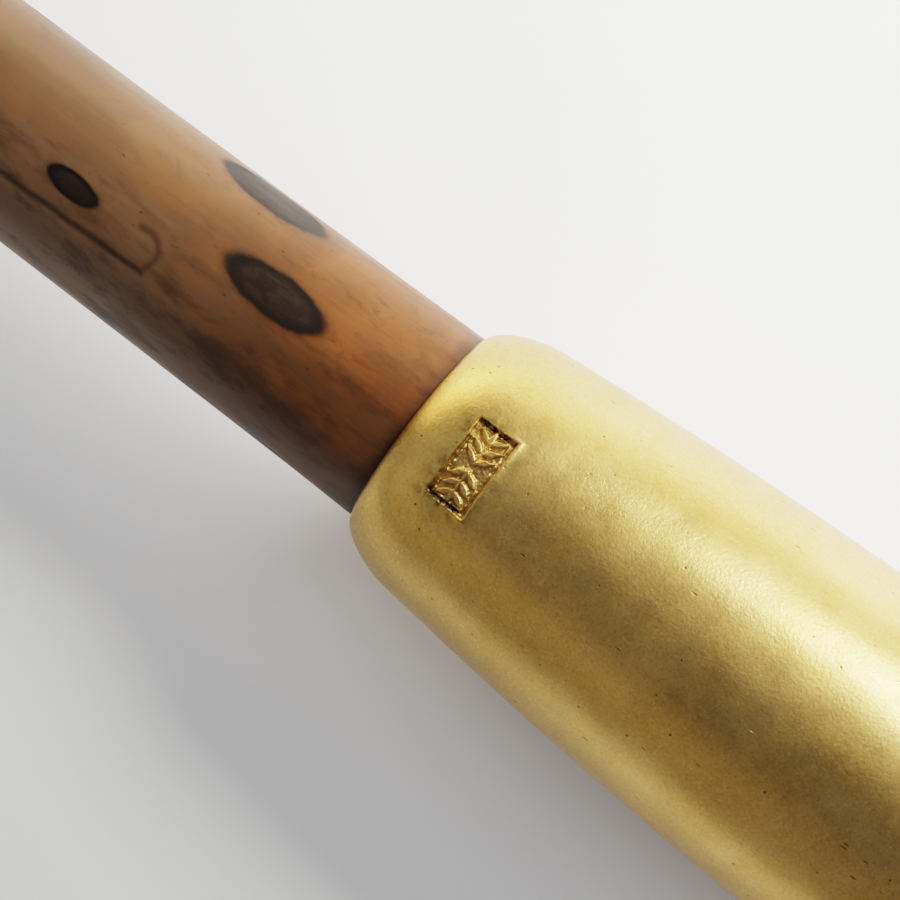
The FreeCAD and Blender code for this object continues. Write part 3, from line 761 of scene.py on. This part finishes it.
def paper():
    """Aged thin paper, wound in layers."""
    s = Shader("shim_paper")
    layers = s.noise(5.0, 2, 0.5, stretch=(0.3, 1.0, 1.0))
    stains = s.noise(0.7, 4, 0.6)
    color = s.mix(s.band(stains, 0.35, 0.7), (0.62, 0.50, 0.33), (0.78, 0.70, 0.54))
    color = s.mix(s.band(layers, 0.55, 0.7, 0.0, 0.3), color, (0.48, 0.37, 0.24))
    return s.finish(color, s.band(stains, 0.3, 0.7, 0.75, 0.9), s.bump(layers, 0.03))


def paint(piece, material):
    """Gives a piece this one material."""
    piece.data.materials.clear()
    piece.data.materials.append(material)


# --- The object ----------------------------------------------------------------------------------

grip = grip_shell()
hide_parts("brass_grip")
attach(grip, "holder")

stem = culm()
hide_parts("bamboo_handle")
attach(stem, "holder")

brass_skin = brass()
wood = hardwood()
spring = steel("spring_steel", (0.36, 0.35, 0.34), (0.56, 0.55, 0.53), 0.32, False)
paint(grip, brass_skin)
paint(stem, bamboo())
paint(NODES["tail_cap"], brass_skin)
paint(NODES["nib_sleeve"], steel("nickel", (0.58, 0.56, 0.52), (0.72, 0.70, 0.66), 0.22, False))
paint(NODES["nib"], steel("nib_steel", (0.50, 0.49, 0.47), (0.68, 0.67, 0.65), 0.24, True))
paint(NODES["nib_claws"], spring)
paint(NODES["claw_screw"], spring)
paint(NODES["joint_shim"], paper())
for dowel in ("handle_core", "tail_dowel", "socket_plug"):
    paint(NODES[dowel], wood)

# --- Floor, light and camera ---------------------------------------------------------------------

FLOOR_HALF = 0.6             # metres
# Metres from a light to what it is aimed at.
LIGHT_DISTANCE = 0.45
KEY_DISTANCE = 0.12
SHEET_DISTANCE = 0.14
KEY_AHEAD = 14.0             # mm from the joint towards the nib

WHITE = (1.0, 0.99, 0.96)
CLEAR = (0.99, 1.0, 1.0)
CREAM = (1.0, 1.0, 0.86)
HONEY = (1.0, 0.95, 0.70)
AMBER = (1.0, 0.79, 0.42)
PALE_BLUE = (0.72, 0.75, 0.91)


def floor():
    """A plain pale sheet under the pen."""
    mesh = bpy.data.meshes.new("floor")
    middle = (cad_box[0][0] + cad_box[1][0]) / 2
    sides = ((-1, -1), (1, -1), (1, 1), (-1, 1))
    corners = [(middle + x * FLOOR_HALF, y * FLOOR_HALF, FLOOR_Z) for x, y in sides]
    mesh.from_pydata(corners, [], [(0, 1, 2, 3)])
    piece = bpy.data.objects.new("floor", mesh)
    bpy.context.scene.collection.objects.link(piece)
    s = Shader("pale_sheet")
    tone = s.mix(s.band(s.noise(0.05, 2), 0.3, 0.7), (0.86, 0.865, 0.875), (0.88, 0.885, 0.895))
    paint(piece, s.finish(tone, Roughness=0.7))
    return piece


def softbox(
    name, azimuth, tilt, wide, high, radiance, color,
    distance=LIGHT_DISTANCE, ahead=0.0, receivers=None,
):
    """A rectangular light aimed at the joint, or at a point some mm ahead of it. Azimuth is from +X
    towards +Y and tilt from straight up. The width and height are in degrees, seen from where the
    light is aimed. With receivers, it lights only that collection."""
    light = bpy.data.lights.new(name, "AREA")
    light.shape = "RECTANGLE"
    light.size = 2 * distance * math.tan(math.radians(wide / 2))
    light.size_y = 2 * distance * math.tan(math.radians(high / 2))
    light.energy = radiance * math.pi * light.size * light.size_y
    light.color = color
    lamp = bpy.data.objects.new(name, light)
    turn, lean = math.radians(azimuth), math.radians(tilt)
    level = Vector((math.cos(turn), math.sin(turn), 0))
    back = level * math.sin(lean) + Vector((0, 0, math.cos(lean)))
    across = Vector((-math.sin(turn), math.cos(turn), 0))
    place = Vector(((MOUTH_X + ahead) * MM, 0, 0)) + back * distance
    axes = Matrix((across, back.cross(across), back)).transposed().to_4x4()
    lamp.matrix_world = Matrix.Translation(place) @ axes
    lamp.visible_camera = False
    if receivers:
        lamp.light_linking.receiver_collection = receivers
    bpy.context.scene.collection.objects.link(lamp)


def sky(strength, color):
    """Even light from all round."""
    world = bpy.data.worlds.new("studio")
    bpy.context.scene.world = world
    world.use_nodes = True
    background = world.node_tree.nodes["Background"]
    background.inputs["Color"].default_value = (*color, 1)
    background.inputs["Strength"].default_value = strength


VIEW_TILT = math.radians(6.0)          # from straight down, towards the nib
PEN_SLOPE = math.radians(37.5)         # how far the pen runs down to the right in the picture
VIEW_DISTANCE = 108.6                  # mm
VIEW_WIDTH = 32.6                      # mm across the picture at the pen's axis
AIM = Vector((MOUTH_X + 1.30, 0.04, 0))          # mm, the middle of the picture
SENSOR = 36.0                          # mm
CLIP_START = 0.005                     # metres
CLIP_END = 20.0


def camera():
    """Nearly overhead, close to the joint, turned so that the pen runs down to the right."""
    lens = bpy.data.cameras.new("camera")
    lens.sensor_width = SENSOR
    lens.lens = SENSOR * VIEW_DISTANCE / VIEW_WIDTH
    lens.clip_start = CLIP_START
    lens.clip_end = CLIP_END
    eye = bpy.data.objects.new("camera", lens)
    back = Vector((math.sin(VIEW_TILT), 0, math.cos(VIEW_TILT)))
    along = Vector((math.cos(VIEW_TILT), 0, -math.sin(VIEW_TILT)))
    across = Vector((0, 1, 0))
    right = along * math.cos(PEN_SLOPE) + across * math.sin(PEN_SLOPE)
    up = across * math.cos(PEN_SLOPE) - along * math.sin(PEN_SLOPE)
    place = (AIM + back * VIEW_DISTANCE) * MM
    eye.matrix_world = Matrix.Translation(place) @ Matrix((right, up, back)).transposed().to_4x4()
    bpy.context.scene.collection.objects.link(eye)
    bpy.context.scene.camera = eye


sheet_only = bpy.data.collections.new("sheet_only")      # what the two sheet lights reach
sheet_only.objects.link(floor())
softbox("key", 75, 50, 22, 12, 35.0, CREAM, KEY_DISTANCE, KEY_AHEAD)
softbox("low_strip", 97, 83, 60, 9, 3.1, AMBER)
softbox("low_rear", 125, 82, 40, 9, 5.7, HONEY)
softbox("rear_strip", 150, 78, 40, 16, 4.6, AMBER)
softbox("rear_panel", 190, 50, 60, 50, 0.16, CREAM)
softbox("ceiling", 90, 15, 20, 20, 0.62, WHITE)
softbox("weak_fill", 240, 65, 60, 30, 0.29, AMBER)
softbox("sheet_light", 58, 74, 38, 16, 56.0, CLEAR, SHEET_DISTANCE, receivers=sheet_only)
softbox("sheet_top", 90, 8, 50, 50, 1.15, CLEAR, SHEET_DISTANCE, receivers=sheet_only)
sky(0.18, PALE_BLUE)
camera()
bpy.context.scene.view_settings.view_transform = "Filmic"
bpy.context.scene.view_settings.look = "High Contrast"
